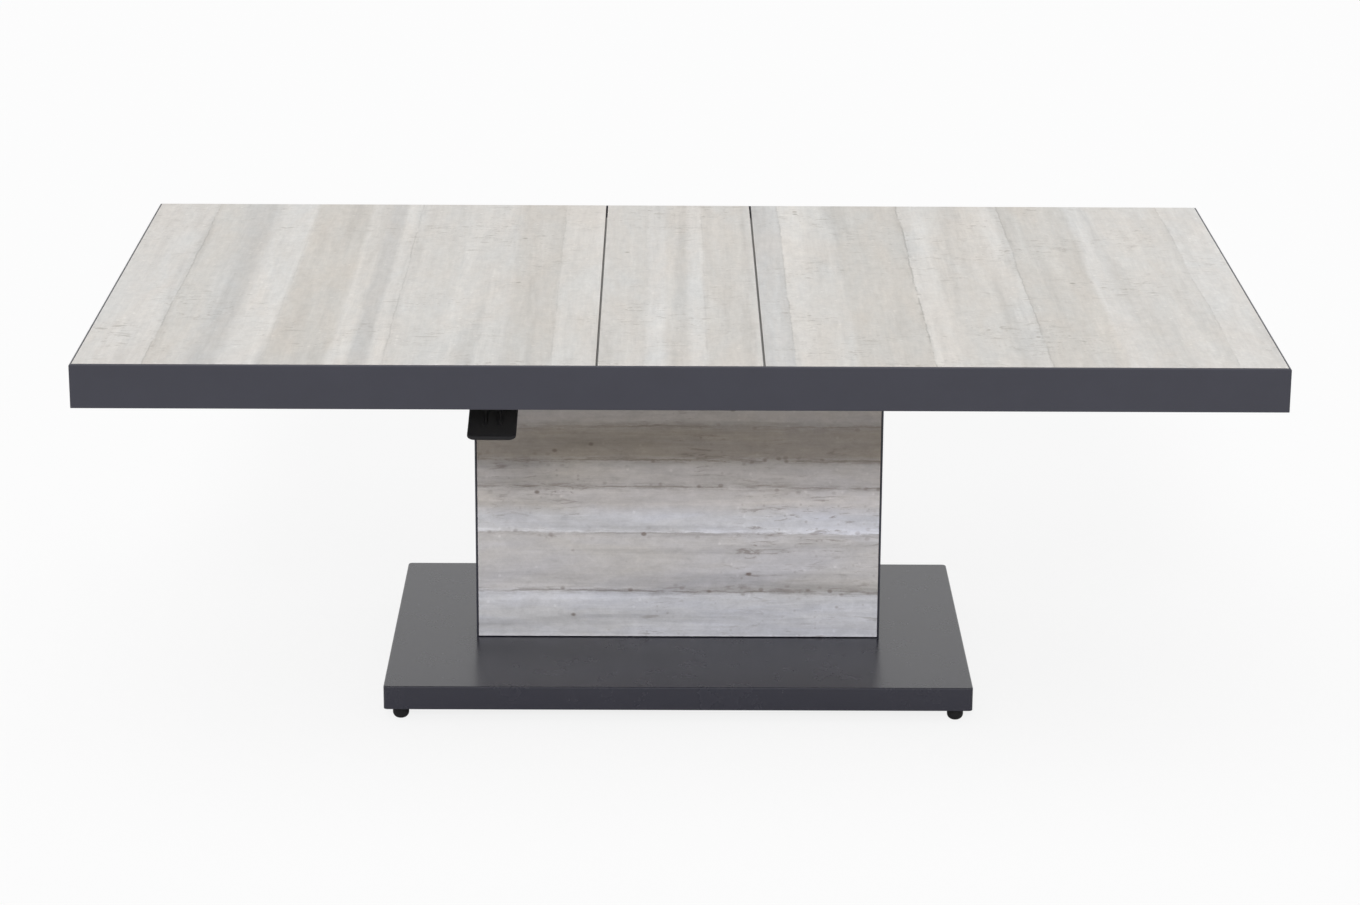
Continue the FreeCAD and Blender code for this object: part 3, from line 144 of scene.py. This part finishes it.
# Board edges in the tiles: reach of their wander and half widths of their marks, in metres
WANDER_REACH = 0.0025
RAGGED_REACH = 0.0016
LINE_HALF_WIDTH = 0.0016
STAIN_HALF_WIDTH = 0.007
KNOT_HALF_WIDTH = 0.012

# Strength of the tiles' flaws, shades of their grain, their gloss and relief
CRACK_STRENGTH = 0.5
PIT_STRENGTH = 0.28
KNOT_STRENGTH = 0.7
GLINT_GAIN = 1.13
GRAIN_SHADES = (0.96, 1.035)
TILE_ROUGHNESS = (0.62, 0.5)
TILE_SPECULAR = 0.4
TILE_RELIEF = 0.00025
TILE_RELIEF_STRENGTH = 0.5

# How far blue falls in a warm tone for each step that red rises
BLUE_FALL = 1.5

# Coats by the record's slots
COATS = {
    "anthracite_aluminium": Coat("anthracite_coat", (0.0303, 0.0307, 0.043, 1), 0.42, 900, 0.00003, 0.06),
    "anthracite_steel": Coat("base_coat", (0.0205, 0.0205, 0.031, 1), 0.27, 600, 0.00001, 0.04),
    "black_steel": Coat("black_paint", (0.02, 0.02, 0.022, 1), 0.38, 700, 0.00002, 0.1),
    "black_plastic": Coat("black_plastic", (0.011, 0.0108, 0.0118, 1), 0.6, 620, 0.00006, 0.1, 0.25),
    "white_nylon": Coat("white_nylon", (0.72, 0.72, 0.69, 1), 0.5, 500, 0.00003, 0.05),
    "silicone_pad": Coat("silicone", (0.42, 0.42, 0.41, 1), 0.7, 600, 0.00004, 0.1),
}
COAT_MOTTLE = Noise((24, 24, 24), 4.0, 0.65, 0.0, UNMOVED, 0.25, 0.75)
COAT_GRAIN = Noise((1, 1, 1), 2.0, 0.6, 0.0, UNMOVED, 0.25, 0.75)
COAT_GRAIN_SHADES = (0.92, 1.08)
COAT_GLOSS_SHARE = 0.25
COAT_RELIEF_STRENGTH = 0.6

# Bare metals by the record's slots
METALS = {
    "zinc_steel": Metal("zinc_plate", (0.62, 0.63, 0.64, 1), 0.36, (160, 160, 14)),
    "chrome_rod": Metal("chrome_plate", (0.80, 0.80, 0.81, 1), 0.1, (300, 300, 20)),
    "plain_aluminium": Metal("cast_aluminium", (0.72, 0.73, 0.74, 1), 0.42, (220, 220, 220)),
}
METAL_WEAR = Noise((30, 30, 30), 3.0, 0.6, 0.0, UNMOVED, 0.25, 0.75)
METAL_GRAIN = Noise((1, 1, 1), 4.0, 0.7, 0.0, UNMOVED, 0.25, 0.75)
METAL_GRAIN_SHADES = (0.9, 1.06)
METAL_WEAR_SHADES = (0.88, 1.05)
METAL_GLOSS_SWING = (-0.06, 0.1)
METAL_RELIEF = 0.00004
METAL_RELIEF_STRENGTH = 0.5


def add_node(tree, kind, inputs=None, **settings):
    """Node with its settings made and its inputs set or linked."""
    node = tree.nodes.new(kind)
    for key, value in settings.items():
        setattr(node, key, value)
    for key, value in (inputs or {}).items():
        feed(tree, node.inputs[key], value)
    return node


def feed(tree, socket, value):
    """Socket linked to another socket, or set to a plain value."""
    if isinstance(value, bpy.types.NodeSocket):
        tree.links.new(value, socket)
    else:
        socket.default_value = value


def new_material(name):
    material = bpy.data.materials.new(name)
    material.use_nodes = True
    tree = material.node_tree
    return material, tree, tree.nodes["Principled BSDF"]


def object_point(tree):
    return tree.nodes.new("ShaderNodeTexCoord").outputs["Object"]


def math_node(tree, operation, first, second):
    return add_node(tree, "ShaderNodeMath", {0: first, 1: second}, operation=operation).outputs[0]


def times(tree, first, second):
    return math_node(tree, "MULTIPLY", first, second)


def spread(tree, value, low, high, to_low=0.0, to_high=1.0):
    """Value mapped from one range to another and held inside it."""
    inputs = {"Value": value, "From Min": low, "From Max": high, "To Min": to_low, "To Max": to_high}
    return add_node(tree, "ShaderNodeMapRange", inputs).outputs["Result"]


def placed(tree, point, scale, shift):
    inputs = {"Vector": point, "Location": shift, "Scale": scale}
    return add_node(tree, "ShaderNodeMapping", inputs).outputs[0]


def noise_value(tree, point, noise):
    """Noise stretched by its own scale along each axis."""
    inputs = {"Vector": placed(tree, point, noise.scale, noise.shift), "Scale": 1.0, "Detail": noise.detail,
              "Roughness": noise.roughness, "Distortion": noise.distortion}
    return add_node(tree, "ShaderNodeTexNoise", inputs).outputs["Fac"]


def band(tree, value, noise, to_low, to_high):
    """The noise's band of values spread between two others."""
    return spread(tree, value, noise.low, noise.high, to_low, to_high)


def board_noise(tree, point, axis, noise, to_low=0.0, to_high=1.0):
    """Noise laid across and along the boards, with its band of values spread between two others."""
    across, along, other = noise.scale
    scale = {"X": (across, along, other), "Z": (along, other, across)}[axis]
    value = noise_value(tree, point, noise._replace(scale=scale))
    return band(tree, value, noise, to_low, to_high)


def speck_mask(tree, point, specks):
    """Mask of small round specks in a share of the cells."""
    place = placed(tree, point, specks.scale, specks.shift)
    cells = add_node(tree, "ShaderNodeTexVoronoi", {"Vector": place, "Scale": 1.0})
    lot = add_node(tree, "ShaderNodeSeparateColor", {0: cells.outputs["Color"]}).outputs[0]
    chosen = math_node(tree, "LESS_THAN", lot, specks.share)
    return times(tree, chosen, spread(tree, cells.outputs["Distance"], specks.radius, specks.radius / 2))


def mix(tree, factor, first, second, blend="MIX"):
    node = add_node(tree, "ShaderNodeMix", data_type="RGBA", blend_type=blend)
    feed(tree, node.inputs[MIX_FACTOR], factor)
    feed(tree, node.inputs[MIX_FIRST], first)
    feed(tree, node.inputs[MIX_SECOND], second)
    return node.outputs[MIX_RESULT]


def shade(tree, colour, amount):
    """Colour times a grey amount."""
    grey = add_node(tree, "ShaderNodeCombineColor", {0: amount, 1: amount, 2: amount}).outputs[0]
    return mix(tree, 1.0, colour, grey, "MULTIPLY")


def bump(tree, shader, height, distance, strength):
    inputs = {"Height": height, "Distance": distance, "Strength": strength}
    tree.links.new(add_node(tree, "ShaderNodeBump", inputs).outputs[0], shader.inputs["Normal"])


def board_place(tree, point, axis):
    """Place across the boards, with a slow wander and a ragged edge."""
    across = add_node(tree, "ShaderNodeSeparateXYZ", {0: point}).outputs[axis]
    wander = board_noise(tree, point, axis, EDGE_WANDER, -WANDER_REACH, WANDER_REACH)
    ragged = board_noise(tree, point, axis, EDGE_RAGGED, -RAGGED_REACH, RAGGED_REACH)
    return math_node(tree, "ADD", math_node(tree, "ADD", across, wander), ragged)


def board_tones(tree, place, edges, tones):
    """Tone of the board, or of a painted highlight band, at a place, changing over at each edge as softly as
    that edge says.
    """
    colour = tones[0]
    for (edge, soft, line), tone in zip(edges, tones[1:]):
        colour = mix(tree, spread(tree, place, edge - soft, edge + soft), colour, tone)
    return colour


def near_edges(tree, place, edges, half_width):
    """Strength of the line at a place, falling off to each side of an edge."""
    strength = 0.0
    for edge, soft, line in edges:
        if line:
            offset = math_node(tree, "ABSOLUTE", math_node(tree, "SUBTRACT", place, edge), 0.0)
            fall = spread(tree, offset, 0.0, half_width, line, 0.0)
            strength = math_node(tree, "MAXIMUM", strength, fall)
    return strength


def seam_stain(tree, point, place, tile):
    """Strength of the broken thin lines along the board edges, inside broken wider stains."""
    thin = times(tree, near_edges(tree, place, tile.edges, LINE_HALF_WIDTH),
                 board_noise(tree, point, tile.axis, LINE_BREAKS))
    wide = times(tree, near_edges(tree, place, tile.edges, STAIN_HALF_WIDTH),
                 board_noise(tree, point, tile.axis, STAIN_BREAKS, 0.0, tile.stain))
    return math_node(tree, "MAXIMUM", thin, wide)


def add_streaks(tree, point, colour, tile):
    """Colour with warm and cool clouds, long grey and pale streaks, and a mottle."""
    clouds = board_noise(tree, point, tile.axis, CLOUDS)
    colour = mix(tree, 1.0, colour, mix(tree, clouds, tile.cool, tile.warm), "MULTIPLY")
    pale = board_noise(tree, point, tile.axis, PALE_STREAKS, 1.0, 1 + tile.pale)
    grey = board_noise(tree, point, tile.axis, GREY_STREAKS, 0.0, tile.grey)
    colour = shade(tree, colour, math_node(tree, "SUBTRACT", pale, grey))
    return shade(tree, colour, board_noise(tree, point, tile.axis, MOTTLE, 1 - tile.mottle, 1 + tile.mottle))


def add_flaws(tree, point, place, colour, cracks, worn, tile):
    """Colour with dark cracks, pits and knots, and pale glints."""
    pits = times(tree, speck_mask(tree, point, PITS), worn)
    glints = speck_mask(tree, point, GLINTS)
    knots = speck_mask(tree, point, tile.knots)
    seam_knots = times(tree, speck_mask(tree, point, SEAM_KNOTS),
                       near_edges(tree, place, tile.edges, KNOT_HALF_WIDTH))
    colour = mix(tree, times(tree, cracks, CRACK_STRENGTH), colour, tile.flaw)
    colour = mix(tree, times(tree, pits, PIT_STRENGTH), colour, tile.flaw)
    colour = shade(tree, colour, spread(tree, glints, 0.0, 1.0, 1.0, GLINT_GAIN))
    colour = mix(tree, times(tree, knots, KNOT_STRENGTH), colour, tile.flaw)
    return mix(tree, seam_knots, colour, tile.flaw)


def tile_material(tile):
    """Fired concrete look with cast board marks: boards side by side along one axis."""
    material, tree, shader = new_material(tile.name)
    point = object_point(tree)
    place = board_place(tree, point, tile.axis)
    fibres = board_noise(tree, point, tile.axis, FIBRES)
    grain = board_noise(tree, point, tile.axis, GRAIN)
    worn = board_noise(tree, point, tile.axis, WORN_PATCHES)
    cracks = times(tree, board_noise(tree, point, tile.axis, tile.cracks), worn)
    colour = board_tones(tree, place, tile.edges, tile.tones)
    colour = add_streaks(tree, point, colour, tile)
    colour = mix(tree, seam_stain(tree, point, place, tile), colour, tile.seam)
    colour = shade(tree, colour, spread(tree, fibres, 0.0, 1.0, *tile.fibres))
    colour = shade(tree, colour, spread(tree, grain, 0.0, 1.0, *GRAIN_SHADES))
    colour = add_flaws(tree, point, place, colour, cracks, worn, tile)
    feed(tree, shader.inputs["Base Color"], colour)
    feed(tree, shader.inputs["Roughness"], spread(tree, fibres, 0.0, 1.0, *TILE_ROUGHNESS))
    shader.inputs["Specular IOR Level"].default_value = TILE_SPECULAR
    relief = math_node(tree, "SUBTRACT", math_node(tree, "ADD", fibres, grain), cracks)
    bump(tree, shader, relief, TILE_RELIEF, TILE_RELIEF_STRENGTH)
    return material


def coat_material(coat):
    """Powder coat or moulded plastic: fine grain in the surface and a faint mottle in its colour."""
    material, tree, shader = new_material(coat.name)
    point = object_point(tree)
    mottling = noise_value(tree, point, COAT_MOTTLE)
    grain = noise_value(tree, point, COAT_GRAIN._replace(scale=(coat.grain, coat.grain, coat.grain)))
    amount = times(tree, band(tree, mottling, COAT_MOTTLE, 1 - coat.mottle, 1 + coat.mottle),
                   band(tree, grain, COAT_GRAIN, *COAT_GRAIN_SHADES))
    feed(tree, shader.inputs["Base Color"], shade(tree, coat.colour, amount))
    swing = coat.mottle * COAT_GLOSS_SHARE
    roughness = band(tree, mottling, COAT_MOTTLE, coat.roughness - swing, coat.roughness + swing)
    feed(tree, shader.inputs["Roughness"], roughness)
    shader.inputs["Specular IOR Level"].default_value = coat.specular
    bump(tree, shader, grain, coat.depth, COAT_RELIEF_STRENGTH)
    return material


def metal_material(metal):
    """Bare metal with a fine grain and soft cloudy wear."""
    material, tree, shader = new_material(metal.name)
    point = object_point(tree)
    wear = noise_value(tree, point, METAL_WEAR)
    grain = noise_value(tree, point, METAL_GRAIN._replace(scale=metal.grain))
    amount = times(tree, band(tree, grain, METAL_GRAIN, *METAL_GRAIN_SHADES),
                   band(tree, wear, METAL_WEAR, *METAL_WEAR_SHADES))
    feed(tree, shader.inputs["Base Color"], shade(tree, metal.colour, amount))
    roughness = [metal.roughness + change for change in METAL_GLOSS_SWING]
    feed(tree, shader.inputs["Roughness"], band(tree, wear, METAL_WEAR, *roughness))
    shader.inputs["Metallic"].default_value = 1.0
    bump(tree, shader, grain, METAL_RELIEF, METAL_RELIEF_STRENGTH)
    return material


def tinted(tone, warmth):
    """Grey tone turned warm (above zero) or cool (below zero)."""
    return (tone * (1 + warmth), tone, tone * (1 - BLUE_FALL * warmth), 1)


def top_tile():
    """Boards of the top, from the left end to the right."""
    edges = [
        (-0.616, 0.001, 0.30), (-0.575, 0.012, 0), (-0.532, 0.008, 0), (-0.482, 0.004, 0.10),
        (-0.408, 0.004, 0), (-0.384, 0.004, 0), (-0.362, 0.003, 0), (-0.343, 0.001, 0.22),
        (-0.206, 0.004, 0), (-0.150, 0.002, 0.14), (-0.0965, 0.001, 0), (-0.040, 0.004, 0),
        (-0.018, 0.003, 0), (0.011, 0.004, 0), (0.030, 0.003, 0.10), (0.087, 0.003, 0),
        (0.0965, 0.001, 0), (0.132, 0.001, 0.22), (0.160, 0.005, 0), (0.206, 0.004, 0),
        (0.293, 0.001, 0.40), (0.326, 0.005, 0), (0.402, 0.005, 0), (0.428, 0.001, 0.30),
        (0.516, 0.004, 0), (0.546, 0.006, 0), (0.643, 0.001, 0.18),
    ]
    tones = [
        (0.646, 0.010), (0.600, 0.024), (0.548, 0.010), (0.658, 0.012), (0.574, 0.030),
        (0.646, 0.018), (0.550, 0.008), (0.646, 0.014), (0.620, 0.016), (0.570, 0.024),
        (0.634, 0.018), (0.608, 0.018), (0.648, 0.008), (0.600, 0.018), (0.665, 0.008),
        (0.598, 0.020), (0.652, 0.014), (0.572, 0.000), (0.662, 0.014), (0.626, 0.018),
        (0.576, 0.026), (0.668, 0.014), (0.616, 0.020), (0.663, 0.014), (0.584, 0.026),
        (0.657, 0.010), (0.632, 0.016), (0.690, 0.010),
    ]
    return Tile(
        name="ceramic_top", axis="X", edges=edges, tones=[tinted(*tone) for tone in tones],
        cool=(0.998, 1.001, 0.994, 1), warm=(1.02, 0.985, 0.945, 1),
        flaw=(0.30, 0.27, 0.235, 1), seam=(0.06, 0.05, 0.035, 1),
        grey=0.12, pale=0.09, mottle=0.078, stain=0.37, fibres=(0.9615, 1.033),
        cracks=TOP_CRACKS, knots=TOP_KNOTS,
    )


def casing_tile():
    """Boards of the pedestal's tiles, from the foot up; the narrow pale band below the first edge is a
    painted highlight along the tile's lower edge, not a board.
    """
    edges = [
        # The first edge, with no line, is the top of a painted highlight band along the tile's lower edge
        (0.0515, 0.001, 0), (0.109, 0.004, 0.60), (0.186, 0.001, 0.40), (0.192, 0.002, 0),
        (0.216, 0.008, 0), (0.247, 0.003, 0.55), (0.282, 0.007, 0.60), (0.326, 0.008, 0.40),
        (0.374, 0.006, 0.40),
    ]
    tones = [
        # The first tone is that painted highlight band at the tile's foot; the other tones are boards
        (0.720, -0.022), (0.628, -0.028), (0.537, 0.008), (0.738, -0.024), (0.602, -0.024),
        (0.525, 0.032), (0.458, 0.040), (0.300, 0.110), (0.430, 0.060), (0.430, 0.050),
    ]
    return Tile(
        name="ceramic_casing", axis="Z", edges=edges, tones=[tinted(*tone) for tone in tones],
        cool=(1.0, 0.985, 1.045, 1), warm=(1.01, 0.972, 0.955, 1),
        flaw=(0.15, 0.11, 0.09, 1), seam=(0.09, 0.055, 0.03, 1),
        grey=0.24, pale=0.18, mottle=0.115, stain=0.8, fibres=(0.944, 1.048),
        cracks=CASING_CRACKS, knots=CASING_KNOTS,
    )


def dress(names, material):
    for name in names:
        mesh = frame["nodes"][name].data
        mesh.materials.clear()
        mesh.materials.append(material)


def dress_all():
    """Every node in the finish of its slot in the record; the tiles of top and casing differ."""
    nodes = {}
    for item in frame["record"]["subparts"]:
        nodes.setdefault(item["material_slot"], []).append(item["node"])
    tiles = nodes.pop("ceramic_tile")
    dress([name for name in tiles if name.startswith("tile")], tile_material(top_tile()))
    dress([name for name in tiles if name.startswith("casing")], tile_material(casing_tile()))
    for slot, coat in COATS.items():
        dress(nodes.pop(slot), coat_material(coat))
    for slot, metal in METALS.items():
        dress(nodes.pop(slot), metal_material(metal))
    if nodes:
        raise ValueError("slots with no material: %s" % sorted(nodes))


def add_floor():
    """Pale floor that reads as white from the camera and still takes the table's shadow."""
    half = FLOOR_SIDE / 2
    corners = [(-half, -half, 0), (half, -half, 0), (half, half, 0), (-half, half, 0)]
    mesh = bpy.data.meshes.new("floor")
    mesh.from_pydata(corners, [], [range(len(corners))])
    floor = bpy.data.objects.new("floor", mesh)
    bpy.context.scene.collection.objects.link(floor)
    material, tree, shader = new_material("floor")
    shader.inputs["Base Color"].default_value = FLOOR_COLOUR
    shader.inputs["Roughness"].default_value = FLOOR_ROUGHNESS
    shader.inputs["Specular IOR Level"].default_value = 0.0
    glow = add_node(tree, "ShaderNodeEmission", {"Color": WHITE, "Strength": 1.0})
    camera_ray = tree.nodes.new("ShaderNodeLightPath").outputs["Is Camera Ray"]
    share = times(tree, camera_ray, FLOOR_WHITE_SHARE)
    mixed = add_node(tree, "ShaderNodeMixShader", {0: share, 1: shader.outputs[0], 2: glow.outputs[0]})
    tree.links.new(mixed.outputs[0], tree.nodes["Material Output"].inputs["Surface"])
    mesh.materials.append(material)


def add_sky():
    """Even sky that is white to the camera and in reflections, and dimmer as a light."""
    world = bpy.data.worlds.new("studio")
    world.use_nodes = True
    tree = world.node_tree
    sky = tree.nodes["Background"]
    sky.inputs["Color"].default_value = WHITE
    sky.inputs["Strength"].default_value = SKY_STRENGTH
    white = add_node(tree, "ShaderNodeBackground", {"Color": WHITE, "Strength": 1.0})
    paths = tree.nodes.new("ShaderNodeLightPath").outputs
    seen = math_node(tree, "MAXIMUM", paths["Is Camera Ray"], paths["Is Glossy Ray"])
    mixed = add_node(tree, "ShaderNodeMixShader", {0: seen, 1: sky.outputs[0], 2: white.outputs[0]})
    tree.links.new(mixed.outputs[0], tree.nodes["World Output"].inputs["Surface"])
    bpy.context.scene.world = world


def add_suns():
    for name, sun in SUNS.items():
        data = bpy.data.lights.new(name, "SUN")
        data.energy = sun.strength
        data.angle = math.radians(sun.width)
        lamp = bpy.data.objects.new(name, data)
        lamp.rotation_euler = [math.radians(turn) for turn in sun.turn]
        lamp.visible_glossy = sun.mirrored
        bpy.context.scene.collection.objects.link(lamp)


def camera_turn():
    """Turn of the camera by yaw, pitch and roll."""
    forward = Vector((math.sin(CAMERA_YAW) * math.cos(CAMERA_PITCH),
                      math.cos(CAMERA_YAW) * math.cos(CAMERA_PITCH), -math.sin(CAMERA_PITCH)))
    level = Vector((math.cos(CAMERA_YAW), -math.sin(CAMERA_YAW), 0))
    upright = level.cross(forward)
    right = math.cos(CAMERA_ROLL) * level + math.sin(CAMERA_ROLL) * upright
    up = math.cos(CAMERA_ROLL) * upright - math.sin(CAMERA_ROLL) * level
    return Matrix((right, up, -forward)).transposed().to_4x4()


def add_camera():
    data = bpy.data.cameras.new("camera")
    data.sensor_fit = "HORIZONTAL"
    data.sensor_width = SENSOR_WIDTH_MM
    data.lens = FOCAL_PIXELS * SENSOR_WIDTH_MM / PICTURE_WIDTH
    camera = bpy.data.objects.new("camera", data)
    camera.matrix_world = Matrix.Translation(CAMERA_PLACE) @ camera_turn()
    bpy.context.scene.collection.objects.link(camera)
    bpy.context.scene.camera = camera


bpy.context.scene.view_settings.view_transform = "Standard"
dress_all()
add_floor()
add_sky()
add_suns()
add_camera()
